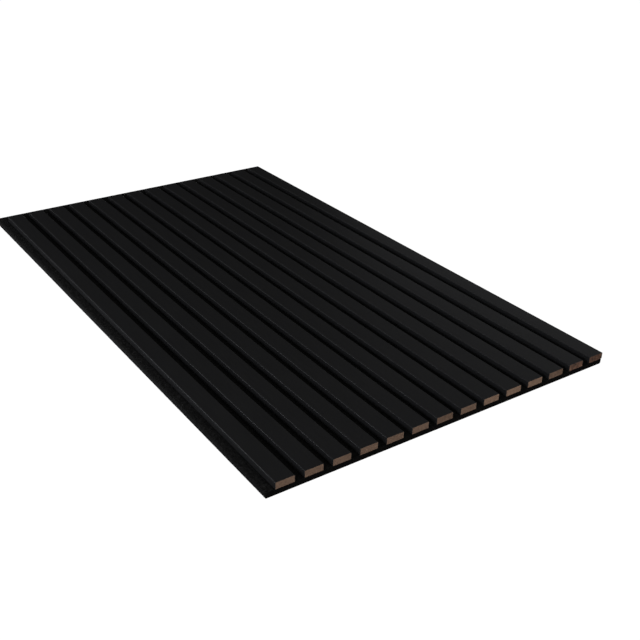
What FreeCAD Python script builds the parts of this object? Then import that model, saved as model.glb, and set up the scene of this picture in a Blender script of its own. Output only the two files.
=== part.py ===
"""Acoustic slat wall panel, lying on its back: wrapped slats on a board of pressed felt.

+X runs across the slats, +Y along them, +Z out of the slat faces. The origin is at the middle
of the back, so the felt stands on Z = 0. All sizes are in millimetres.
"""

import FreeCAD, Part
import math
import os

# Felt board
felt_width = 600.0
far_lip = 26.0
felt_thickness = 9.0
felt_edge_radius = 2.0

# Slats: a core of fibreboard with a wrap over its top and both sides
slat_count = 14
slat_length = 1032.0
slat_width = 28.4
slat_height = 10.2
slat_edge_radius = 1.0
wrap_thickness = 0.3
last_slat_overhang = 1.0

# Staples, driven from the back through the felt into the cores
staple_rows = 5
staple_end_margin = 75.0
staple_crown = 12.8
staple_wire_width = 1.0
staple_wire_thickness = 0.6
staple_bend_flat = 0.5
staple_bite = 6.0
staple_tip_slope = 0.8
crown_recess = 0.2

# What follows from these
slat_pitch = felt_width / slat_count
slat_gap = slat_pitch - slat_width
left_lip = slat_gap + last_slat_overhang
overall_width = felt_width + last_slat_overhang
felt_left = -overall_width / 2
felt_right = felt_left + felt_width
felt_length = slat_length + far_lip
near_end = -felt_length / 2
slat_base = felt_thickness
slat_top = slat_base + slat_height
core_width = slat_width - 2 * wrap_thickness
core_top = slat_top - wrap_thickness
core_edge_radius = slat_edge_radius - wrap_thickness
staple_leg = felt_thickness - crown_recess + staple_bite
staple_spacing = (slat_length - 2 * staple_end_margin) / (staple_rows - 1)

along = FreeCAD.Vector(0, 1, 0)


def slat_centre(index):
    """X of the middle of a slat, counted from 0 at the left."""
    return felt_left + left_lip + index * slat_pitch + slat_width / 2


def staple_places(index):
    """X and Y of each staple in one slat."""
    return [(slat_centre(index), near_end + staple_end_margin + row * staple_spacing)
            for row in range(staple_rows)]


def outline(y, corners):
    """A closed face in the plane Y = y. Each corner is (x, z, radius of its rounding)."""
    count = len(corners)
    starts, ends, arcs = [], [], []
    for i, (x, z, radius) in enumerate(corners):
        corner = FreeCAD.Vector(x, y, z)
        before = FreeCAD.Vector(corners[i - 1][0], y, corners[i - 1][1])
        after = FreeCAD.Vector(corners[(i + 1) % count][0], y, corners[(i + 1) % count][1])
        if radius <= 0:
            starts.append(corner)
            ends.append(corner)
            arcs.append(None)
            continue
        back = (before - corner).normalize()
        ahead = (after - corner).normalize()
        half_angle = back.getAngle(ahead) / 2
        reach = radius / math.tan(half_angle)
        to_middle = (back + ahead).normalize()
        crown = corner + to_middle * (radius / math.sin(half_angle) - radius)
        starts.append(corner + back * reach)
        ends.append(corner + ahead * reach)
        arcs.append(crown)
    edges = []
    for i in range(count):
        if arcs[i] is not None:
            edges.append(Part.Arc(starts[i], arcs[i], ends[i]).toShape())
        following = starts[(i + 1) % count]
        if ends[i].distanceToPoint(following) > 1e-7:
            edges.append(Part.LineSegment(ends[i], following).toShape())
    return Part.Face(Part.Wire(edges))


def bar(corners, length):
    """A section drawn in X and Z, run from the near end towards the far one."""
    return outline(near_end, corners).extrude(along * length)


def slat_section(width, top, radius):
    """Corners of a slat's section: square at the felt, rounded along both upper edges."""
    half = width / 2
    return [(-half, slat_base, 0), (half, slat_base, 0), (half, top, radius), (-half, top, radius)]


def staple():
    """One staple at X = 0, Y = 0: a flat wire bent to a crown and two legs with slanted tips."""
    half = staple_crown / 2
    inner = half - staple_wire_thickness
    bottom = crown_recess
    crown_top = crown_recess + staple_wire_thickness
    tip = crown_recess + staple_leg
    corners = [
        (-half + staple_bend_flat, bottom, 0),
        (half - staple_bend_flat, bottom, 0),
        (half, bottom + staple_bend_flat, 0),
        (half, tip - staple_tip_slope, 0),
        (inner, tip, 0),
        (inner, crown_top, 0),
        (-inner, crown_top, 0),
        (-inner, tip, 0),
        (-half, tip - staple_tip_slope, 0),
        (-half, bottom + staple_bend_flat, 0),
    ]
    wire = outline(-staple_wire_width / 2, corners)
    return wire.extrude(along * staple_wire_width)


def staple_slots():
    """What one staple pushes aside: two leg holes, and the groove its crown is pressed into."""
    half = staple_crown / 2
    low = -staple_wire_width / 2
    leg_depth = crown_recess + staple_leg
    crown_depth = crown_recess + staple_wire_thickness
    groove = Part.makeBox(staple_crown, staple_wire_width, crown_depth,
                          FreeCAD.Vector(-half, low, 0))
    left_leg = Part.makeBox(staple_wire_thickness, staple_wire_width, leg_depth,
                            FreeCAD.Vector(-half, low, 0))
    right_leg = left_leg.copy()
    right_leg.translate(FreeCAD.Vector(staple_crown - staple_wire_thickness, 0, 0))
    return groove.fuse([left_leg, right_leg]).removeSplitter()


def at_places(shape, places):
    """Copies of a shape, moved to each X and Y."""
    copies = []
    for x, y in places:
        copy = shape.copy()
        copy.translate(FreeCAD.Vector(x, y, 0))
        copies.append(copy)
    return copies


def felt_backing():
    """The felt board, with softened long edges and a slot for every staple.

    It stands out past the slats on two sides: the left, beside the first slat, and the far end.
    """
    radius = felt_edge_radius
    board = bar([
        (felt_left, 0, radius),
        (felt_right, 0, radius),
        (felt_right, felt_thickness, 0),
        (felt_left, felt_thickness, radius),
    ], felt_length)
    places = [place for index in range(slat_count) for place in staple_places(index)]
    return board.cut(at_places(staple_slots(), places))


def slat_core(index):
    """One fibreboard core, with the blind slots that the staple legs have cut."""
    core = bar(slat_section(core_width, core_top, core_edge_radius), slat_length)
    core.translate(FreeCAD.Vector(slat_centre(index), 0, 0))
    return core.cut(at_places(staple_slots(), staple_places(index)))


def slat_facing(index):
    """The wrap of one slat: over the top, round both upper edges and down both sides."""
    outer = bar(slat_section(slat_width, slat_top, slat_edge_radius), slat_length)
    inner = bar(slat_section(core_width, core_top, core_edge_radius), slat_length)
    wrap = outer.cut(inner)
    wrap.translate(FreeCAD.Vector(slat_centre(index), 0, 0))
    return wrap


def back_staples():
    """All staples, as separate solids of one node."""
    places = [place for index in range(slat_count) for place in staple_places(index)]
    return Part.makeCompound(at_places(staple(), places))


os.makedirs("parts", exist_ok=True)
felt_backing().exportStep("parts/felt_backing.step")
back_staples().exportStep("parts/back_staples.step")
for slat in range(slat_count):
    slat_core(slat).exportStep("parts/slat_core_%02d.step" % (slat + 1))
    slat_facing(slat).exportStep("parts/slat_facing_%02d.step" % (slat + 1))
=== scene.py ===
"""Acoustic slat wall panel: its finish, felt, light and camera. Lengths are in metres."""

import math

import bpy
import numpy as np
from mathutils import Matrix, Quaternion, Vector, noise


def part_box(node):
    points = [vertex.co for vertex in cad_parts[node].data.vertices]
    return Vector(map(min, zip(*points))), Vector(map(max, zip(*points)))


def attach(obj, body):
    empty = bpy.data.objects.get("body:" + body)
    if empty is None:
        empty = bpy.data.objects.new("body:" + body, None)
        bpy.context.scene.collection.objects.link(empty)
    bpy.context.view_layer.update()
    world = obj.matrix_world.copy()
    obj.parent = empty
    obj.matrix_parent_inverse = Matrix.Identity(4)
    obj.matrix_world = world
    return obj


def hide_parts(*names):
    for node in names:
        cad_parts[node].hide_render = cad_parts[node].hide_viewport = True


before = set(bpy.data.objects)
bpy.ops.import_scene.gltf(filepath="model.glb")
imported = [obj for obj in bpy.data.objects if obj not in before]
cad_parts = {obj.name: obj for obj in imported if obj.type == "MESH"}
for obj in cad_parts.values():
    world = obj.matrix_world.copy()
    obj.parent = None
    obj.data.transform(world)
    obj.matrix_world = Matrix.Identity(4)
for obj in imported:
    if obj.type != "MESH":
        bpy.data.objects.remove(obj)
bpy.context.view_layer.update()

MM = 0.001
SLATS = [name for name in sorted(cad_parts) if name.startswith("slat_facing_")]
CORES = [name for name in sorted(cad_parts) if name.startswith("slat_core_")]
FELT_LOW, FELT_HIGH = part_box("felt_backing")
STAPLE_LOW, STAPLE_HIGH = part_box("back_staples")
SLAT_BOXES = [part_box(name) for name in SLATS]
SLATS_END = SLAT_BOXES[0][1].y


# Helpers for materials made of nodes

class Shader:
    """A material under construction: makes nodes and joins them."""

    def __init__(self, name):
        self.material = bpy.data.materials.new(name)
        self.material.use_nodes = True
        self.tree = self.material.node_tree
        self.surface = self.tree.nodes["Principled BSDF"]
        self.place = self.node("ShaderNodeTexCoord").outputs["Object"]

    def node(self, kind, values=None, **settings):
        """A new node, with values for its sockets and settings of its own."""
        made = self.tree.nodes.new(kind)
        for key, value in settings.items():
            setattr(made, key, value)
        for key, value in (values or {}).items():
            made.inputs[key].default_value = value
        return made

    def join(self, source, target):
        """Links an output to a socket."""
        self.tree.links.new(source, target)

    def stretched(self, scale):
        """The place on the object, stretched along each axis."""
        mapping = self.node("ShaderNodeMapping", {"Scale": scale})
        self.join(self.place, mapping.inputs["Vector"])
        return mapping.outputs["Vector"]

    def noise(self, scale, detail=2.0, roughness=0.5, place=None, distortion=0.0):
        """Random value from 0 to 1 over the surface. Scale is in patches per metre."""
        made = self.node("ShaderNodeTexNoise", {
            "Scale": scale, "Detail": detail, "Roughness": roughness, "Distortion": distortion})
        self.join(place or self.place, made.inputs["Vector"])
        return made.outputs["Fac"]

    def spread(self, value, low, high, to_low=0.0, to_high=1.0):
        """A value's range, stretched to another and kept within it."""
        made = self.node("ShaderNodeMapRange", {
            "From Min": low, "From Max": high, "To Min": to_low, "To Max": to_high})
        self.join(value, made.inputs["Value"])
        return made.outputs["Result"]

    def math(self, operation, a, b):
        """One step of arithmetic. Each side is a number or an output."""
        made = self.node("ShaderNodeMath", operation=operation)
        for value, socket in ((a, made.inputs[0]), (b, made.inputs[1])):
            if isinstance(value, (int, float)):
                socket.default_value = value
            else:
                self.join(value, socket)
        return made.outputs["Value"]

    def weighted(self, *parts):
        """The sum of outputs, each times its weight."""
        total = None
        for value, weight in parts:
            share = self.math("MULTIPLY", value, weight)
            total = share if total is None else self.math("ADD", total, share)
        return total

    def axes(self, vector):
        """The X, Y and Z of a place or a direction."""
        made = self.node("ShaderNodeSeparateXYZ")
        self.join(vector, made.inputs["Vector"])
        return made.outputs

    def blend(self, factor, low, high):
        """A colour between two, each a colour or an output."""
        made = self.node("ShaderNodeMix", data_type="RGBA")
        inputs = {socket.identifier: socket for socket in made.inputs}
        outputs = {socket.identifier: socket for socket in made.outputs}
        self.join(factor, inputs["Factor_Float"])
        for value, socket in ((low, inputs["A_Color"]), (high, inputs["B_Color"])):
            if isinstance(value, tuple):
                socket.default_value = (*value, 1.0)
            else:
                self.join(value, socket)
        return outputs["Result_Color"]

    def bump(self, height, distance, strength=1.0, before=None):
        """A normal tilted by a height, on top of another bump where one is given."""
        made = self.node("ShaderNodeBump", {"Strength": strength, "Distance": distance})
        self.join(height, made.inputs["Height"])
        if before is not None:
            self.join(before, made.inputs["Normal"])
        return made.outputs["Normal"]

    def finish(self, colour=None, roughness=None, normal=None, **sockets):
        """Joins what varies to the surface, sets what doesn't, and gives the material."""
        for value, name in ((colour, "Base Color"), (roughness, "Roughness"), (normal, "Normal")):
            if value is not None:
                self.join(value, self.surface.inputs[name])
        for name, value in sockets.items():
            self.surface.inputs[name.replace("_", " ")].default_value = value
        return self.material


def wrap_material():
    """Matt black foil: faint grain along the slat, fine speckle and a slightly uneven sheen."""
    s = Shader("wrap_foil")
    grain = s.noise(260.0, 3.0, 0.6, s.stretched((1.0, 0.06, 1.0)))
    speckle = s.noise(1400.0, 2.0, 0.6)
    cloud = s.noise(9.0, 2.0)
    tone = s.weighted((speckle, 0.6), (grain, 0.4))
    colour = s.blend(s.spread(tone, 0.35, 0.65), (0.0071, 0.0071, 0.0071), (0.0097, 0.0097, 0.0097))
    rough = s.spread(s.weighted((cloud, 0.5), (speckle, 0.5)), 0.3, 0.7, 0.31, 0.41)
    fine = s.bump(speckle, 0.02 * MM, 0.15)
    normal = s.bump(grain, 0.03 * MM, 0.15, fine)
    return s.finish(colour, rough, normal, Specular_IOR_Level=0.15)


def board_material(name, light, dark, fleck, fleck_share, patch_scale=260.0, patch_weight=0.4):
    """Sawn fibreboard: matted short fibres, darker patches, dark flecks and faint saw lines.
    The patches are so many per metre, and their weight is their share of the tone."""
    s = Shader(name)
    fibres = s.noise(1500.0, 4.0, 0.7, s.stretched((0.55, 1.0, 1.0)))
    patches = s.noise(patch_scale, 2.0, 0.5)
    saw = s.noise(700.0, 1.0, 0.5, s.stretched((1.0, 0.2, 0.1)))
    tone = s.weighted((fibres, 1.0 - patch_weight), (patches, patch_weight))
    base = s.blend(s.spread(tone, 0.36, 0.64), dark, light)
    spots = s.noise(620.0, 2.0, 0.6, distortion=0.4)
    colour = s.blend(s.spread(spots, 1.0 - fleck_share, 1.06 - fleck_share), base, fleck)
    rough = s.spread(fibres, 0.3, 0.7, 0.78, 0.95)
    normal = s.bump(saw, 0.08 * MM, 0.4, s.bump(fibres, 0.12 * MM, 0.6))
    return s.finish(colour, rough, normal, Specular_IOR_Level=0.2)


# The felt is painted paler on its lip beside the first slat, as painted light and painted sheen, and
# painted darker between the slats, as painted shade
lip_inside = FELT_LOW.x + 15 * MM
lip_outside = FELT_LOW.x + 17 * MM
painted_light_colour = (0.034, 0.0336, 0.0324)
shaded_colour = (0.0020, 0.0020, 0.0019)


def felt_material(name, low, high, cut_painted_shade=1.0):
    """Needled felt: tangled fibres, with lighter strands over a dark ground. Its cut ends and the
    felt between the slats are painted darker as painted shade; its lip and left edge are painted
    paler as painted light, more so towards the far end."""
    s = Shader(name)
    tangle = s.noise(850.0, 4.0, 0.75, distortion=1.2)
    tufts = s.noise(240.0, 3.0, 0.6)
    strands = s.noise(520.0, 3.0, 0.7, s.stretched((1.0, 0.3, 1.0)), distortion=1.5)
    tone = s.weighted((tangle, 0.3), (tufts, 0.45), (strands, 0.25))
    colour = s.blend(s.spread(tone, 0.4, 0.62), low, high)
    place = s.axes(s.place)
    # Painted light and painted sheen: the lip is painted paler, most at its left edge, and more so
    # towards the far end
    on_lip = s.spread(place["X"], lip_inside, lip_outside, 0.25, 0.0)
    by_edge = s.spread(place["X"], FELT_LOW.x, FELT_LOW.x + 5.5 * MM, 0.75, 0.0)
    painted_far_sheen = s.spread(place["Y"], FELT_LOW.y, FELT_LOW.y + 450 * MM, 0.02, 0.16)
    pale = s.math("MULTIPLY", s.math("ADD", on_lip, by_edge), painted_far_sheen)
    colour = s.blend(pale, colour, painted_light_colour)
    # Painted shade: the felt past the lip, between and under the slats, is painted darker
    between = s.spread(place["X"], lip_inside, lip_outside, 0.0, 0.4)
    colour = s.blend(between, colour, shaded_colour)
    # Painted shade: faces turned to the ends are painted darker; the faint ribs on them are the
    # cut's own texture
    if cut_painted_shade < 1.0:
        facing = s.axes(s.node("ShaderNodeTexCoord").outputs["Normal"])
        cut = s.spread(s.math("ABSOLUTE", facing["Y"], 0.0), 0.3, 0.8)
        dark = [cut_painted_shade * (a + b) / 2 for a, b in zip(low, high)]
        ribs = s.spread(s.noise(900.0, 1.0, 0.5, s.stretched((1.0, 1.0, 0.05))), 0.4, 0.6)
        ribbed = s.blend(ribs, tuple(0.7 * v for v in dark), tuple(1.3 * v for v in dark))
        colour = s.blend(cut, colour, ribbed)
    normal = s.bump(tangle, 0.5 * MM, 0.8, s.bump(tufts, 0.8 * MM, 0.5))
    return s.finish(colour, None, normal, Roughness=0.95, Specular_IOR_Level=0.02)


def steel_material():
    """Zinc-plated staple wire: dull bright metal with patchy plating."""
    s = Shader("staple_wire")
    patches = s.noise(900.0, 3.0, 0.6)
    colour = s.blend(s.spread(patches, 0.35, 0.65), (0.42, 0.43, 0.45), (0.62, 0.62, 0.63))
    rough = s.spread(patches, 0.3, 0.7, 0.28, 0.5)
    return s.finish(colour, rough, None, Metallic=1.0)


# The felt board, modelled with its soft edges, its needled surface and a groove for every staple

felt_edge = 2.0 * MM
felt_end_edge = 0.2 * MM
right_round = 1.45
lip_short_near = 0.85 * MM
lip_long_far = 1.85 * MM
near_lean = 0.45 * MM
edge_steps = 4
flat_shares = (0.42, 0.58)
end_calm = 0.4
station_step = 6.0 * MM
gap_step = 2.9 * MM
under_step = 3.6 * MM
crown_step = 2.1 * MM
sink = 0.02 * MM
slat_margin = 0.3 * MM
needle_depth = 0.18 * MM
cut_wobble = 0.2 * MM
staple_crown = 12.8 * MM
staple_wire = 1.0 * MM
staple_groove = 0.9 * MM
groove_slope = 0.6 * MM
staple_rows = 5
touch = 1e-6


def spaced(low, high, step):
    """Even places from low up to, but not including, high."""
    count = max(1, round((high - low) / step))
    return [low + (high - low) * i / count for i in range(count)]


def crossing_stations():
    """X of the board's grid lines: close together where felt shows, sparse below the slats."""
    stations = []
    start = FELT_LOW.x + felt_edge
    for low, high in SLAT_BOXES:
        middle = (low.x + high.x) / 2
        edge = staple_crown / 2
        stations += spaced(start, low.x, gap_step)
        stations += [low.x, low.x + under_step]
        stations += [middle - edge - groove_slope, middle - edge, middle - crown_step]
        stations += [middle + crown_step, middle + edge, middle + edge + groove_slope]
        stations += [high.x - under_step]
        start = high.x
    stations.append(FELT_HIGH.x - felt_edge)
    return np.array(stations)


def staple_lines():
    """Y of each row of staples."""
    half_wire = staple_wire / 2
    low, high = STAPLE_LOW.y + half_wire, STAPLE_HIGH.y - half_wire
    return [low + (high - low) * i / (staple_rows - 1) for i in range(staple_rows)]


def length_stations():
    """Y of the board's grid lines, with four more at each row of staples."""
    stations = spaced(FELT_LOW.y + felt_end_edge, FELT_HIGH.y - felt_end_edge, station_step)
    stations.append(FELT_HIGH.y - felt_end_edge)
    reach = staple_wire / 2 + groove_slope
    for line in staple_lines():
        stations = [y for y in stations if abs(y - line) > 1.5 * reach]
        stations += [line - reach, line - staple_wire / 2, line + staple_wire / 2, line + reach]
    return np.array(sorted(stations))


def left_shift(x, y):
    """The lip was cut a little askew: narrower near, wider far."""
    share = (y - FELT_LOW.y) / (FELT_HIGH.y - FELT_LOW.y)
    reach = min(1.0, max(0.0, (SLAT_BOXES[0][0].x - x) / (SLAT_BOXES[0][0].x - FELT_LOW.x)))
    return reach * (lip_short_near - share * (lip_short_near + lip_long_far))


def near_shift(y, z):
    """The near end was cut leaning in towards the back."""
    depth = (y - FELT_LOW.y) / station_step
    height = (z - FELT_LOW.z) / (FELT_HIGH.z - FELT_LOW.z)
    return near_lean * max(0.0, 1.0 - depth) * (1.0 - height)


def mesh_object(name, verts, faces):
    """A new object of these points and faces, in the scene."""
    mesh = bpy.data.meshes.new(name)
    mesh.from_pydata(verts, [], faces)
    mesh.update()
    made = bpy.data.objects.new(name, mesh)
    bpy.context.scene.collection.objects.link(made)
    return made


def dress(obj, material):
    """Gives an object one material in place of what it came with."""
    obj.data.materials.clear()
    obj.data.materials.append(material)


def rough(x, y, z, scale, seed):
    """Smooth random height from -1 to 1 at a place."""
    return noise.noise(Vector((x * scale + seed, y * scale, z * scale)))


def back_height(x, y):
    """The needled back, with a groove for the crown of every staple."""
    reach = staple_crown / 2 + touch
    in_x = any(abs(x - (low.x + high.x) / 2) <= reach for low, high in SLAT_BOXES)
    in_y = any(abs(y - line) <= staple_wire / 2 + touch for line in staple_lines())
    if in_x and in_y:
        return FELT_LOW.z + staple_groove
    return FELT_LOW.z + needle_depth * 0.5 * (1 + rough(x, y, 0, scale=300, seed=7))


def face_height(x, y):
    """The needled face, pressed flat below the slats."""
    pressed = any(low.x + slat_margin <= x <= high.x - slat_margin for low, high in SLAT_BOXES)
    if y < SLATS_END and pressed:
        return FELT_HIGH.z - sink
    return FELT_HIGH.z - sink + needle_depth * (rough(x, y, 1, scale=330, seed=3) - 0.4)


def edge_rows():
    """Each row of points up the board's edge: share of the way out, and height."""
    bottom, top = FELT_LOW.z, FELT_HIGH.z
    turns = [step / edge_steps * math.pi / 2 for step in range(1, edge_steps + 1)]
    rows = [(math.sin(turn), bottom + felt_edge * (1 - math.cos(turn))) for turn in turns]
    rows += [(1.0, bottom + share * (top - bottom)) for share in flat_shares]
    rows += [(math.sin(turn), top - felt_edge * (1 - math.cos(turn))) for turn in reversed(turns)]
    return rows


def edge_height(side, z):
    """Height of an edge point. Side is -1 at the left, 1 at the right and 0 at the two ends."""
    bottom, top = FELT_LOW.z, FELT_HIGH.z
    # The ends keep their corners, so that the felt meets the slats' ends squarely
    if side == 0 and z < bottom + felt_edge:
        return bottom + (z - bottom) * felt_end_edge / felt_edge
    if side == 0 and z > top - felt_edge:
        return top - (top - z) * felt_end_edge / felt_edge
    # The right edge is rounder at its back
    if side > 0 and z < bottom + 1.01 * felt_edge:
        return bottom + (z - bottom) * right_round
    return z


def felt_board():
    """The board as one closed grid: back, four soft edges and the face."""
    xs, ys = crossing_stations(), length_stations()
    verts = []
    back = np.zeros((len(xs), len(ys)), int)
    face = np.zeros((len(xs), len(ys)), int)
    for i, x in enumerate(xs):
        for j, y in enumerate(ys):
            back[i, j] = len(verts)
            verts.append((x, y, back_height(x, y)))
    for i, x in enumerate(xs):
        for j, y in enumerate(ys):
            face[i, j] = len(verts)
            verts.append((x, y, face_height(x, y)))

    ring = [(i, 0) for i in range(len(xs))]
    ring += [(len(xs) - 1, j) for j in range(1, len(ys))]
    ring += [(i, len(ys) - 1) for i in range(len(xs) - 2, -1, -1)]
    ring += [(0, j) for j in range(len(ys) - 2, 0, -1)]

    loops = [[back[i, j] for i, j in ring]]
    for share, z in edge_rows():
        loop = []
        for i, j in ring:
            side = -1 if i == 0 else 1 if i == len(xs) - 1 else 0
            end = -1 if j == 0 else 1 if j == len(ys) - 1 else 0
            dx, dy = side * felt_edge, end * felt_end_edge
            x, y = xs[i] + dx * share, ys[j] + dy * share
            wobble = cut_wobble * (rough(x, y, z, scale=160, seed=11) - 0.35) * share
            if side == 0:
                wobble *= end_calm
            reach = math.hypot(dx, dy)
            loop.append(len(verts))
            verts.append((x + dx / reach * wobble, y + dy / reach * wobble, edge_height(side, z)))
        loops.append(loop)
    loops.append([face[i, j] for i, j in ring])

    quads = []
    for i in range(len(xs) - 1):
        for j in range(len(ys) - 1):
            quads.append((back[i, j], back[i, j + 1], back[i + 1, j + 1], back[i + 1, j]))
            quads.append((face[i, j], face[i + 1, j], face[i + 1, j + 1], face[i, j + 1]))
    count = len(ring)
    for low_loop, high_loop in zip(loops, loops[1:]):
        for k in range(count):
            after = (k + 1) % count
            quads.append((low_loop[k], low_loop[after], high_loop[after], high_loop[k]))
    places = []
    for x, y, z in verts:
        places.append((float(x + left_shift(x, y)), float(y + near_shift(y, z)), float(z)))
    board = mesh_object("felt_board", places, [tuple(map(int, quad)) for quad in quads])
    board.data.polygons.foreach_set("use_smooth", [True] * len(quads))
    return board


# Loose fibres that stand out of the felt: how many in each place, and how long the longest are

left_count, left_longest = 10000, 1.9 * MM
right_count, right_longest = 3500, 1.6 * MM
near_count, near_longest = 1500, 0.6 * MM
far_count, far_longest = 500, 0.3 * MM
lip_count = 15000
gap_count = 550
far_lip_count = 5000
face_longest = 2.0 * MM
clump_drift = 2.2
root_depth = 0.15 * MM


def fibres(name, roots, normals, lengths, seed, lean=0.9, width=0.045 * MM, drift=None):
    """Thin tapered threads: each leaves its root along the normal, leaning and curling."""
    random = np.random.default_rng(seed)
    count = len(roots)
    sideways = random.normal(size=(count, 3))
    if drift is not None:
        sideways += drift
    normals = np.asarray(normals, float)
    sideways -= normals * (sideways * normals).sum(1, keepdims=True)
    sideways /= np.linalg.norm(sideways, axis=1, keepdims=True)
    across = np.cross(normals, sideways)
    lengths = np.asarray(lengths, float)[:, None]
    start = np.asarray(roots, float) - normals * root_depth
    slant = lean * random.uniform(0.2, 1.0, (count, 1))
    curl = random.uniform(-0.5, 0.5, (count, 1))
    middle = start + lengths * 0.5 * (normals * (1 - 0.3 * slant) + sideways * slant)
    tip = start + lengths * (normals * (1 - 0.8 * slant) + sideways * slant + across * curl)
    floor = FELT_LOW.z + 0.1 * MM
    middle[:, 2] = np.maximum(middle[:, 2], floor)
    tip[:, 2] = np.maximum(tip[:, 2], floor)
    thick = width * random.uniform(0.7, 1.4, (count, 1))
    verts = []
    for centre, size in ((start, 1.0), (middle, 0.8)):
        for corner in range(3):
            turn = corner / 3 * 2 * math.pi
            spoke = across * math.cos(turn) + sideways * math.sin(turn)
            spoke = spoke + normals * math.sin(turn) * 0.5
            verts.append(centre + thick * size * spoke)
    verts.append(tip)
    points = np.stack(verts, 1).reshape(-1, 3)
    faces = []
    for k in range(count):
        first = k * 7
        faces.append((first, first + 2, first + 1))
        for corner in range(3):
            after = (corner + 1) % 3
            faces.append((first + corner, first + after, first + 3 + after, first + 3 + corner))
            faces.append((first + 3 + corner, first + 3 + after, first + 6))
    return mesh_object(name, points.tolist(), faces)


def edge_fibres():
    """Fuzz along the four cut edges, thickest at the long edges."""
    random = np.random.default_rng(21)
    low, high = FELT_LOW, FELT_HIGH
    roots, normals, lengths = [], [], []

    def along(count, x_side, y_side, longest):
        for _ in range(count):
            z = random.uniform(0.08, 0.95) * (high.z - low.z)
            tilt = (z / (high.z - low.z) - 0.5) * 1.2
            if x_side:
                x = low.x if x_side < 0 else high.x
                y = random.uniform(low.y, high.y)
                inset = max(0.0, abs(tilt) - 0.35) * 3.0 * MM
                x += left_shift(x, y) - x_side * inset
                roots.append((x, y, z))
                normals.append((x_side * math.cos(tilt), 0.0, math.sin(tilt)))
            else:
                y = low.y + near_shift(low.y, z) if y_side < 0 else high.y
                roots.append((random.uniform(low.x + MM, high.x - MM), y, z))
                normals.append((0.0, y_side, 0.0))
            lengths.append(random.uniform(0.25, 1.0) ** 1.5 * longest)

    along(left_count, -1, 0, left_longest)
    along(right_count, 1, 0, right_longest)
    along(near_count, 0, -1, near_longest)
    along(far_count, 0, 1, far_longest)
    return fibres("felt_edge_fibres", roots, normals, lengths, seed=5)


def lip_fibres():
    """Tufts on the lip beside the first slat: clumps of fibres that lie the same way."""
    random = np.random.default_rng(57)
    left, right = FELT_LOW.x, SLAT_BOXES[0][0].x
    roots, lengths, drift = [], [], []
    while len(roots) < lip_count:
        share = random.uniform(0.0, 1.0) ** 1.25
        x = left + share * (right - left)
        y = random.uniform(FELT_LOW.y, FELT_HIGH.y)
        clump = rough(x, y, 0.0, scale=260.0, seed=41)
        if random.uniform(-0.55, 0.45) > clump:
            continue
        roots.append((x + left_shift(x, y), y, FELT_HIGH.z - max(0.0, 0.25 - share * 4) * MM))
        lengths.append(random.uniform(0.5, 1.0) * (2.6 - 1.0 * share) * MM)
        aside = rough(x, y, 2.0, scale=150.0, seed=5)
        along = rough(x, y, 5.0, scale=150.0, seed=8)
        drift.append((clump_drift * aside, clump_drift * along, 0.0))
    normals = [(0.0, 0.0, 1.0)] * len(roots)
    return fibres("felt_lip_fibres", roots, normals, lengths, seed=13, lean=1.15, width=0.06 * MM,
                  drift=np.array(drift))


def face_fibres():
    """Fuzz on the felt face between the slats and past their far ends."""
    random = np.random.default_rng(33)
    roots, lengths = [], []

    def over(count, left, right, near, far):
        for _ in range(count):
            roots.append((random.uniform(left, right), random.uniform(near, far), FELT_HIGH.z))
            lengths.append(random.uniform(0.4, 1.0) * face_longest)

    for (_, before), (after, _) in zip(SLAT_BOXES, SLAT_BOXES[1:]):
        over(gap_count, before.x, after.x, FELT_LOW.y, SLATS_END)
    lip_left, lip_right = SLAT_BOXES[0][0].x, FELT_HIGH.x - felt_edge
    over(far_lip_count, lip_left, lip_right, SLATS_END, FELT_HIGH.y - MM)
    normals = [(0.0, 0.0, 1.0)] * len(roots)
    return fibres("felt_face_fibres", roots, normals, lengths, seed=9, lean=1.2)


# Stage, light and camera

# Where the light mirrored in the flat black faces would come from
screen_toward = (0.50, 0.74, 0.45)
camera_place = Vector((-761.8, -1323.7, 736.5)) * MM
camera_aim = Vector((-3.14, -207.15, 19.0)) * MM
camera_roll = 0.64
camera_lens = 53.2
camera_sensor = 36.0
floor_half = 6.0
floor_drop = 0.03 * MM
floor_glow = 1.09
floor_glow_share = 0.9


def add_camera():
    """The photo's viewpoint. The roll is in degrees, the lens and sensor in millimetres."""
    data = bpy.data.cameras.new("camera")
    data.lens = camera_lens
    data.sensor_width = camera_sensor
    camera = bpy.data.objects.new("camera", data)
    bpy.context.scene.collection.objects.link(camera)
    ahead = camera_aim - camera_place
    camera.rotation_mode = "QUATERNION"
    roll = Quaternion((0.0, 0.0, 1.0), math.radians(camera_roll))
    camera.rotation_quaternion = ahead.to_track_quat("-Z", "Y") @ roll
    camera.location = camera_place
    bpy.context.scene.camera = camera


def soft_box(name, place, aim, size, power, colour):
    """A rectangular lamp at one place, facing another."""
    data = bpy.data.lights.new(name, "AREA")
    data.shape = "RECTANGLE"
    data.size, data.size_y = size
    data.energy = power
    data.color = colour
    light = bpy.data.objects.new(name, data)
    bpy.context.scene.collection.objects.link(light)
    light.location = place
    light.rotation_mode = "QUATERNION"
    light.rotation_quaternion = (Vector(aim) - Vector(place)).to_track_quat("-Z", "Y")


def seen_white(tree, lit, white):
    """Mixes a shader with plain white for the camera, also through anything clear."""
    path = tree.nodes.new("ShaderNodeLightPath")
    either = tree.nodes.new("ShaderNodeMath")
    either.operation = "MAXIMUM"
    tree.links.new(path.outputs["Is Camera Ray"], either.inputs[0])
    tree.links.new(path.outputs["Is Transmission Ray"], either.inputs[1])
    mix = tree.nodes.new("ShaderNodeMixShader")
    tree.links.new(either.outputs["Value"], mix.inputs["Fac"])
    tree.links.new(lit, mix.inputs[1])
    tree.links.new(white, mix.inputs[2])
    return mix.outputs["Shader"]


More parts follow.
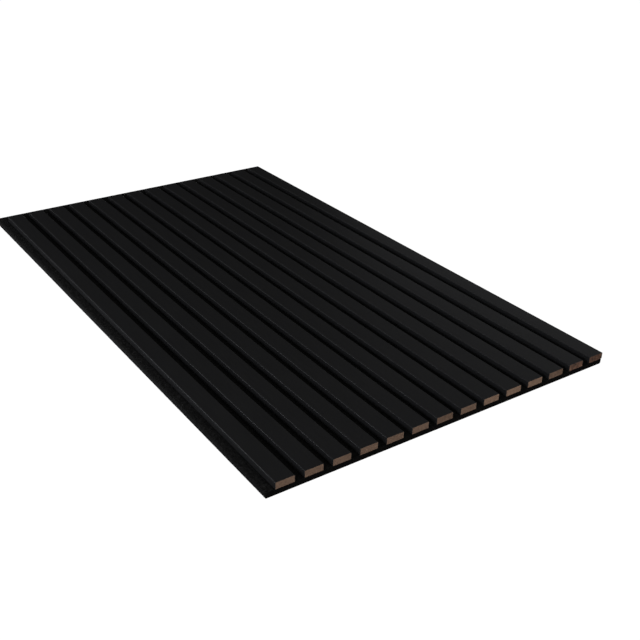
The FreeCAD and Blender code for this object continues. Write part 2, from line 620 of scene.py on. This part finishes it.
def add_world():
    """White to the camera. Its light is soft and even, with a dark screen to the far right, where
    the flat slat faces would mirror it."""
    world = bpy.data.worlds.new("studio")
    world.use_nodes = True
    bpy.context.scene.world = world
    tree = world.node_tree
    lit = tree.nodes["Background"]
    lit.inputs["Color"].default_value = (0.98, 0.985, 1.0, 1.0)
    sky = tree.nodes.new("ShaderNodeTexCoord")
    toward = tree.nodes.new("ShaderNodeVectorMath")
    toward.operation = "DOT_PRODUCT"
    toward.inputs[1].default_value = screen_toward
    tree.links.new(sky.outputs["Generated"], toward.inputs[0])
    flag = tree.nodes.new("ShaderNodeMapRange")
    for key, value in (("From Min", 0.45), ("From Max", 0.85), ("To Min", 0.34), ("To Max", 0.018)):
        flag.inputs[key].default_value = value
    tree.links.new(toward.outputs["Value"], flag.inputs["Value"])
    tree.links.new(flag.outputs["Result"], lit.inputs["Strength"])
    white = tree.nodes.new("ShaderNodeBackground")
    white.inputs["Color"].default_value = (1.0, 1.0, 1.0, 1.0)
    white.inputs["Strength"].default_value = 1.0
    mixed = seen_white(tree, lit.outputs["Background"], white.outputs["Background"])
    tree.links.new(mixed, tree.nodes["World Output"].inputs["Surface"])


def add_floor():
    """A pale floor that keeps a faint shadow."""
    z = FELT_LOW.z - floor_drop
    corners = [(x * floor_half, y * floor_half, z) for x, y in ((-1, -1), (1, -1), (1, 1), (-1, 1))]
    floor = mesh_object("floor", corners, [(0, 1, 2, 3)])
    material = bpy.data.materials.new("floor")
    material.use_nodes = True
    tree = material.node_tree
    surface = tree.nodes["Principled BSDF"]
    surface.inputs["Base Color"].default_value = (0.8, 0.8, 0.8, 1.0)
    surface.inputs["Roughness"].default_value = 1.0
    surface.inputs["Specular IOR Level"].default_value = 0.0
    glow = tree.nodes.new("ShaderNodeEmission")
    glow.inputs["Strength"].default_value = floor_glow
    shade = tree.nodes.new("ShaderNodeMixShader")
    shade.inputs["Fac"].default_value = floor_glow_share
    tree.links.new(surface.outputs["BSDF"], shade.inputs[1])
    tree.links.new(glow.outputs["Emission"], shade.inputs[2])
    mixed = seen_white(tree, surface.outputs["BSDF"], shade.outputs["Shader"])
    tree.links.new(mixed, tree.nodes["Material Output"].inputs["Surface"])
    dress(floor, material)


def dress_slats():
    """Foil on every wrap. The sawn cores aren't all cut from the same board."""
    foil = wrap_material()
    for name in SLATS:
        dress(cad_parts[name], foil)
    plain = board_material("fibreboard", (0.120, 0.0755, 0.0485), (0.076, 0.0465, 0.0305),
                           (0.036, 0.019, 0.011), 0.30)
    pale = board_material("fibreboard_pale", (0.160, 0.101, 0.066), (0.106, 0.066, 0.043),
                          (0.052, 0.029, 0.017), 0.28)
    tan = board_material("fibreboard_tan", (0.110, 0.067, 0.043), (0.066, 0.039, 0.0245),
                         (0.026, 0.013, 0.008), 0.36)
    russet = board_material("fibreboard_russet", (0.118, 0.060, 0.036), (0.034, 0.017, 0.010),
                            (0.017, 0.008, 0.005), 0.36, patch_scale=190.0, patch_weight=0.8)
    dark = board_material("fibreboard_dark", (0.088, 0.042, 0.0235), (0.026, 0.012, 0.007),
                          (0.012, 0.006, 0.004), 0.40, patch_scale=210.0, patch_weight=0.8)
    boards = [plain] * 6 + [tan, plain] + [pale] * 3 + [tan, russet, dark]
    for name, board in zip(CORES, boards):
        dress(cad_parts[name], board)


def dress_felt():
    """The felt board and the fibres that stand out of it."""
    # The ground is painted darker on its cut ends, as painted shade. The strands are a copy of the
    # felt painted about four times lighter, as painted light that the loose fibres on the edges and
    # lip catch; the fibres between the slats keep the dark ground.
    ground = felt_material("felt_ground", (0.0009, 0.0009, 0.0009), (0.0086, 0.0085, 0.0081), 0.42)
    strand = felt_material("felt_strands", (0.0055, 0.0054, 0.0052), (0.0340, 0.0336, 0.0320))
    board = felt_board()
    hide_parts("felt_backing")
    pieces = [(board, ground), (edge_fibres(), strand), (lip_fibres(), strand)]
    pieces.append((face_fibres(), ground))
    for piece, material in pieces:
        dress(piece, material)
        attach(piece, "root")


dress_slats()
dress(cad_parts["back_staples"], steel_material())
dress_felt()
add_world()
add_floor()
add_camera()
soft_box("left_box", (-3.0, -1.25, 1.4), (0.0, -0.2, 0.0), (2.6, 0.9), 98.0, (0.88, 0.90, 1.0))
soft_box("low_left_box", (-0.9, 0.26, 0.07), (0.0, 0.26, 0.03), (0.45, 0.06), 2.0, (0.90, 0.92, 1.0))
soft_box("far_left_box", (-1.15, 2.4, 1.9), (0.0, -0.1, 0.0), (1.5, 1.0), 8.8, (0.92, 0.95, 1.0))
soft_box("top_box", (0.6, -0.9, 2.4), (0.1, -0.2, 0.0), (1.4, 1.4), 19.5, (1.0, 0.98, 0.96))
soft_box("near_box", (0.6, -3.0, 0.9), (0.0, -0.5, 0.0), (2.0, 1.2), 20.5, (1.0, 0.95, 0.90))
soft_box("sheen_box", (2.5, 1.95, 1.1), (0.45, 2.35, 0.0), (3.0, 0.6), 2.25, (0.95, 0.96, 1.0))
bpy.context.scene.view_settings.view_transform = "Standard"
